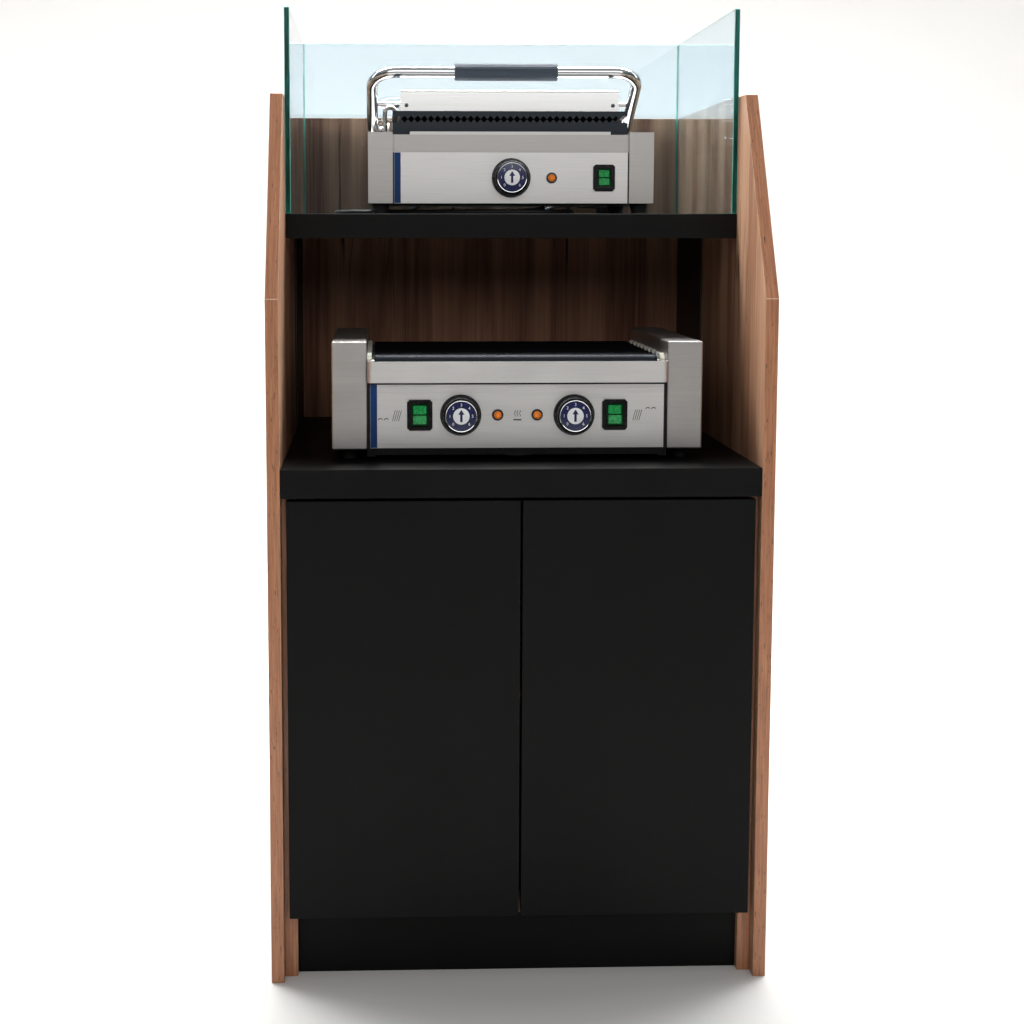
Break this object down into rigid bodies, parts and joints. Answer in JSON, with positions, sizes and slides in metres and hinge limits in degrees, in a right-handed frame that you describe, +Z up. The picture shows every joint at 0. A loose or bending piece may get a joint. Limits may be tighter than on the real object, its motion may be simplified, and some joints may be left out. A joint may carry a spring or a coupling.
{
  "type": "hot dog counter",
  "caption": "Board cabinet with hinged doors that carries a roller grill on its worktop and a hinged contact grill behind a glass guard on its upper shelf.",
  "frame": {"origin": "on the floor, under the middle of the cabinet's width and depth", "axes": "+Z up, +X to the right as the server sees it, and the doors and controls face -Y"},
  "size_m": [0.7, 0.69, 1.3763],
  "materials": {
    "decor_board": "walnut decor foil on chipboard, satin",
    "black_board": "black laminate on chipboard, satin",
    "black_steel": "black paint, matt",
    "glass": "clear, polished edges",
    "hinge_steel": "nickel plated",
    "stainless": "brushed",
    "white_plastic": "satin",
    "roller_coating": "black non-stick coating, satin",
    "dial": "blue-black, satin",
    "amber_lens": "clear amber",
    "green_rocker": "clear green",
    "plate_iron": "enamelled, matt",
    "chrome": "polished",
    "conduit": "wound strip, satin",
    "rubber": "moulded, matt"
  },
  "bodies": {
    "counter": {"outer_side_left": "decor_board", "outer_side_right": "decor_board", "carcass_side_left": "decor_board", "carcass_side_right": "decor_board", "carcass_floor": "decor_board", "back_panel": "decor_board", "inner_shelf": "decor_board", "plinth": "black_board", "worktop": "black_board", "upper_shelf": "black_board", "shelf_support_left": "black_steel", "shelf_support_right": "black_steel", "glass_left": "glass", "glass_right": "glass", "glass_back": "glass", "hinge_arm_left_lower": "hinge_steel", "hinge_arm_left_upper": "hinge_steel", "hinge_arm_right_lower": "hinge_steel", "hinge_arm_right_upper": "hinge_steel", "roller_housing_left": "stainless", "roller_housing_right": "stainless", "roller_chassis": "stainless", "roller_panel": "stainless", "roller_guard": "stainless", "bearing_strip_left": "white_plastic", "bearing_strip_right": "white_plastic", "roller_lamp_left": "amber_lens", "roller_lamp_right": "amber_lens", "contact_base": "stainless", "contact_panel": "stainless", "contact_lamp": "amber_lens", "lower_plate": "plate_iron", "cord_gland": "rubber", "mains_cord": "rubber", "mains_plug": "rubber"},
    "left_door": {"door_left": "black_board"},
    "right_door": {"door_right": "black_board"},
    "first_roller": {"roller_1": "roller_coating"},
    "second_roller": {"roller_2": "roller_coating"},
    "third_roller": {"roller_3": "roller_coating"},
    "fourth_roller": {"roller_4": "roller_coating"},
    "fifth_roller": {"roller_5": "roller_coating"},
    "sixth_roller": {"roller_6": "roller_coating"},
    "seventh_roller": {"roller_7": "roller_coating"},
    "eighth_roller": {"roller_8": "roller_coating"},
    "ninth_roller": {"roller_9": "roller_coating"},
    "left_roller_dial": {"roller_knob_left": "dial"},
    "right_roller_dial": {"roller_knob_right": "dial"},
    "left_roller_rocker": {"roller_switch_left": "green_rocker"},
    "right_roller_rocker": {"roller_switch_right": "green_rocker"},
    "roller_drip_tray": {"drip_tray": "stainless"},
    "contact_dial": {"contact_knob": "dial"},
    "contact_rocker": {"contact_switch": "green_rocker"},
    "contact_grease_tray": {"grease_tray": "stainless"},
    "lid_handle": {"handle": "chrome", "handle_grip": "rubber", "plate_rod": "chrome", "flexible_lead": "conduit"},
    "hanging_plate": {"upper_plate": "plate_iron", "top_cover": "stainless"}
  },
  "joints": [
    {"name": "left_door_hinge", "type": "hinge", "parent": "counter", "child": "left_door", "pos_m": [-0.324, -0.343, 0.3895], "axis": [0, 0, -1], "range_deg": [0, 105]},
    {"name": "right_door_hinge", "type": "hinge", "parent": "counter", "child": "right_door", "pos_m": [0.324, -0.343, 0.3895], "axis": [0, 0, 1], "range_deg": [0, 105]},
    {"name": "roller_1_spin", "type": "hinge", "parent": "counter", "child": "first_roller", "pos_m": [0, -0.224, 0.8668], "axis": [1, 0, 0], "continuous": true},
    {"name": "roller_2_spin", "type": "hinge", "parent": "counter", "child": "second_roller", "pos_m": [0, -0.188, 0.8668], "axis": [1, 0, 0], "continuous": true},
    {"name": "roller_3_spin", "type": "hinge", "parent": "counter", "child": "third_roller", "pos_m": [0, -0.152, 0.8668], "axis": [1, 0, 0], "continuous": true},
    {"name": "roller_4_spin", "type": "hinge", "parent": "counter", "child": "fourth_roller", "pos_m": [0, -0.116, 0.8668], "axis": [1, 0, 0], "continuous": true},
    {"name": "roller_5_spin", "type": "hinge", "parent": "counter", "child": "fifth_roller", "pos_m": [0, -0.08, 0.8668], "axis": [1, 0, 0], "continuous": true},
    {"name": "roller_6_spin", "type": "hinge", "parent": "counter", "child": "sixth_roller", "pos_m": [0, -0.044, 0.8668], "axis": [1, 0, 0], "continuous": true},
    {"name": "roller_7_spin", "type": "hinge", "parent": "counter", "child": "seventh_roller", "pos_m": [0, -0.008, 0.8668], "axis": [1, 0, 0], "continuous": true},
    {"name": "roller_8_spin", "type": "hinge", "parent": "counter", "child": "eighth_roller", "pos_m": [0, 0.028, 0.8668], "axis": [1, 0, 0], "continuous": true},
    {"name": "roller_9_spin", "type": "hinge", "parent": "counter", "child": "ninth_roller", "pos_m": [0, 0.064, 0.8668], "axis": [1, 0, 0], "continuous": true},
    {"name": "left_roller_dial_turn", "type": "hinge", "parent": "counter", "child": "left_roller_dial", "pos_m": [-0.0805, -0.2603, 0.7953], "axis": [0, 1, 0], "range_deg": [0, 270]},
    {"name": "right_roller_dial_turn", "type": "hinge", "parent": "counter", "child": "right_roller_dial", "pos_m": [0.0805, -0.2603, 0.7953], "axis": [0, 1, 0], "range_deg": [0, 270]},
    {"name": "left_roller_rocker_tilt", "type": "hinge", "parent": "counter", "child": "left_roller_rocker", "pos_m": [-0.1385, -0.258, 0.7953], "axis": [1, 0, 0], "range_deg": [0, 16]},
    {"name": "right_roller_rocker_tilt", "type": "hinge", "parent": "counter", "child": "right_roller_rocker", "pos_m": [0.1385, -0.258, 0.7953], "axis": [1, 0, 0], "range_deg": [0, 16]},
    {"name": "drip_tray_slide", "type": "slide", "parent": "counter", "child": "roller_drip_tray", "axis": [0, -1, 0], "range_m": [0, 0.25]},
    {"name": "contact_dial_turn", "type": "hinge", "parent": "counter", "child": "contact_dial", "pos_m": [0.0036, -0.0813, 1.1343], "axis": [0, 1, 0], "range_deg": [0, 270]},
    {"name": "contact_rocker_tilt", "type": "hinge", "parent": "counter", "child": "contact_rocker", "pos_m": [0.1436, -0.079, 1.1343], "axis": [1, 0, 0], "range_deg": [0, 16]},
    {"name": "grease_tray_slide", "type": "slide", "parent": "counter", "child": "contact_grease_tray", "axis": [0, -1, 0], "range_m": [0, 0.11]},
    {"name": "lid_hinge", "type": "hinge", "parent": "counter", "child": "lid_handle", "pos_m": [0.0036, 0.185, 1.2183], "axis": [-1, 0, 0], "range_deg": [0, 70]},
    {"name": "plate_tilt", "type": "hinge", "parent": "lid_handle", "child": "hanging_plate", "pos_m": [0.0036, 0.11506, 1.257], "axis": [-1, 0, 0], "range_deg": [-7, 0]}
  ],
  "couplings": [
    {"joint": "roller_2_spin", "follows": "roller_1_spin", "ratio": 1},
    {"joint": "roller_3_spin", "follows": "roller_1_spin", "ratio": 1},
    {"joint": "roller_4_spin", "follows": "roller_1_spin", "ratio": 1},
    {"joint": "roller_5_spin", "follows": "roller_1_spin", "ratio": 1},
    {"joint": "roller_6_spin", "follows": "roller_1_spin", "ratio": 1},
    {"joint": "roller_7_spin", "follows": "roller_1_spin", "ratio": 1},
    {"joint": "roller_8_spin", "follows": "roller_1_spin", "ratio": 1},
    {"joint": "roller_9_spin", "follows": "roller_1_spin", "ratio": 1},
    {"joint": "plate_tilt", "follows": "lid_hinge", "ratio": -0.1}
  ]
}
